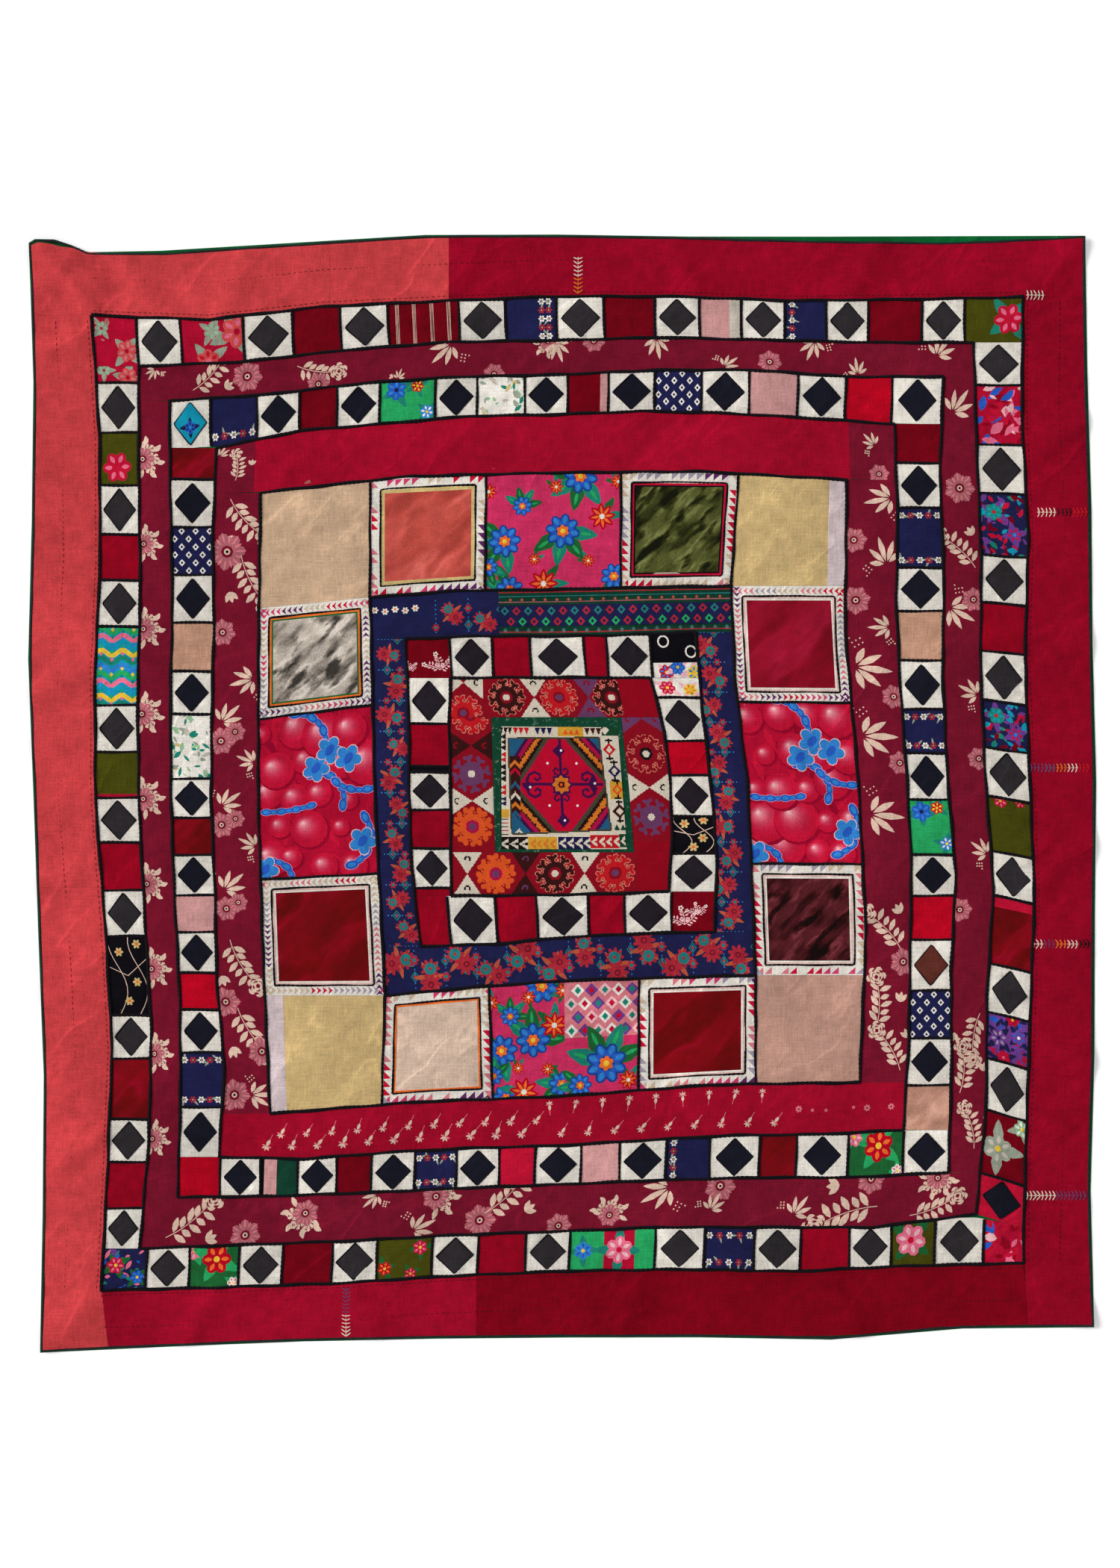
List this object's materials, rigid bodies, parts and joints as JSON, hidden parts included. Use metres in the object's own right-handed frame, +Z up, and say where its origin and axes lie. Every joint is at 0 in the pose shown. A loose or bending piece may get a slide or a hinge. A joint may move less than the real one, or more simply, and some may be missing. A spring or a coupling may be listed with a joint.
{
  "type": "patchwork suzani bed cover",
  "caption": "Square patchwork cover with rings of cotton, velvet and silk patches round a cross-stitched centre, lying flat.",
  "frame": {"origin": "on the resting surface, under the middle of the cloth's box", "axes": "+X to the right of the design, +Y towards its top edge, +Z up from the resting surface"},
  "size_m": [2.1454, 2.2462, 0.0195],
  "materials": {
    "lining_cotton": "plain woven green cotton",
    "edge_cord": "twisted dark cotton cord",
    "coral_cotton": "plain woven coral cotton",
    "red_cotton": "plain woven red cotton",
    "crimson_cotton": "plain woven crimson cotton",
    "dark_red_cotton": "plain woven dark red cotton",
    "patch_cotton": "small white, red and printed cotton patches",
    "burgundy_print": "burgundy cotton with a cream flower print",
    "silk": "slubbed silk and satin",
    "velvet": "short crushed velvet in a pieced frame",
    "flower_print": "printed cotton with large flowers",
    "blue_print": "navy cotton with a small flower print",
    "embroidery": "dense cross stitch in wool and silk",
    "green_binding": "worn green velvet ribbon",
    "glass_bead": "small white glass beads"
  },
  "bodies": {
    "root": {"lining": "lining_cotton", "edge_binding_upper": "edge_cord", "edge_binding_lower": "edge_cord", "border_top_1": "coral_cotton", "border_top_2": "coral_cotton", "border_top_3": "red_cotton", "border_right": "red_cotton", "border_bottom_1": "crimson_cotton", "border_bottom_2": "dark_red_cotton", "border_left_1": "coral_cotton", "border_left_2": "coral_cotton", "border_left_3": "coral_cotton", "border_left_4": "coral_cotton", "outer_patches_top": "patch_cotton", "outer_patches_right": "patch_cotton", "outer_patches_bottom": "patch_cotton", "outer_patches_left": "patch_cotton", "floral_band_top": "burgundy_print", "floral_band_right": "burgundy_print", "floral_band_bottom": "burgundy_print", "floral_band_left": "burgundy_print", "inner_patches_top": "patch_cotton", "inner_patches_right": "patch_cotton", "inner_patches_bottom": "patch_cotton", "inner_patches_left": "patch_cotton", "wide_band_top": "crimson_cotton", "wide_band_right": "burgundy_print", "wide_band_bottom": "crimson_cotton", "wide_band_left": "burgundy_print", "block_top_1": "silk", "block_top_2": "velvet", "block_top_3": "flower_print", "block_top_4": "velvet", "block_top_5": "silk", "block_right_1": "silk", "block_right_2": "flower_print", "block_right_3": "velvet", "block_bottom_1": "silk", "block_bottom_2": "silk", "block_bottom_3": "flower_print", "block_bottom_4": "velvet", "block_bottom_5": "silk", "block_left_1": "velvet", "block_left_2": "flower_print", "block_left_3": "velvet", "blue_band_top": "blue_print", "blue_band_right": "blue_print", "blue_band_bottom": "blue_print", "blue_band_left": "blue_print", "small_patches_top": "patch_cotton", "small_patches_right": "patch_cotton", "small_patches_bottom": "patch_cotton", "small_patches_left": "patch_cotton", "embroidered_band_top": "embroidery", "embroidered_band_right": "embroidery", "embroidered_band_bottom": "embroidery", "embroidered_band_left": "embroidery", "centre_binding": "green_binding", "centre_panel": "embroidery"}
  },
  "joints": []
}
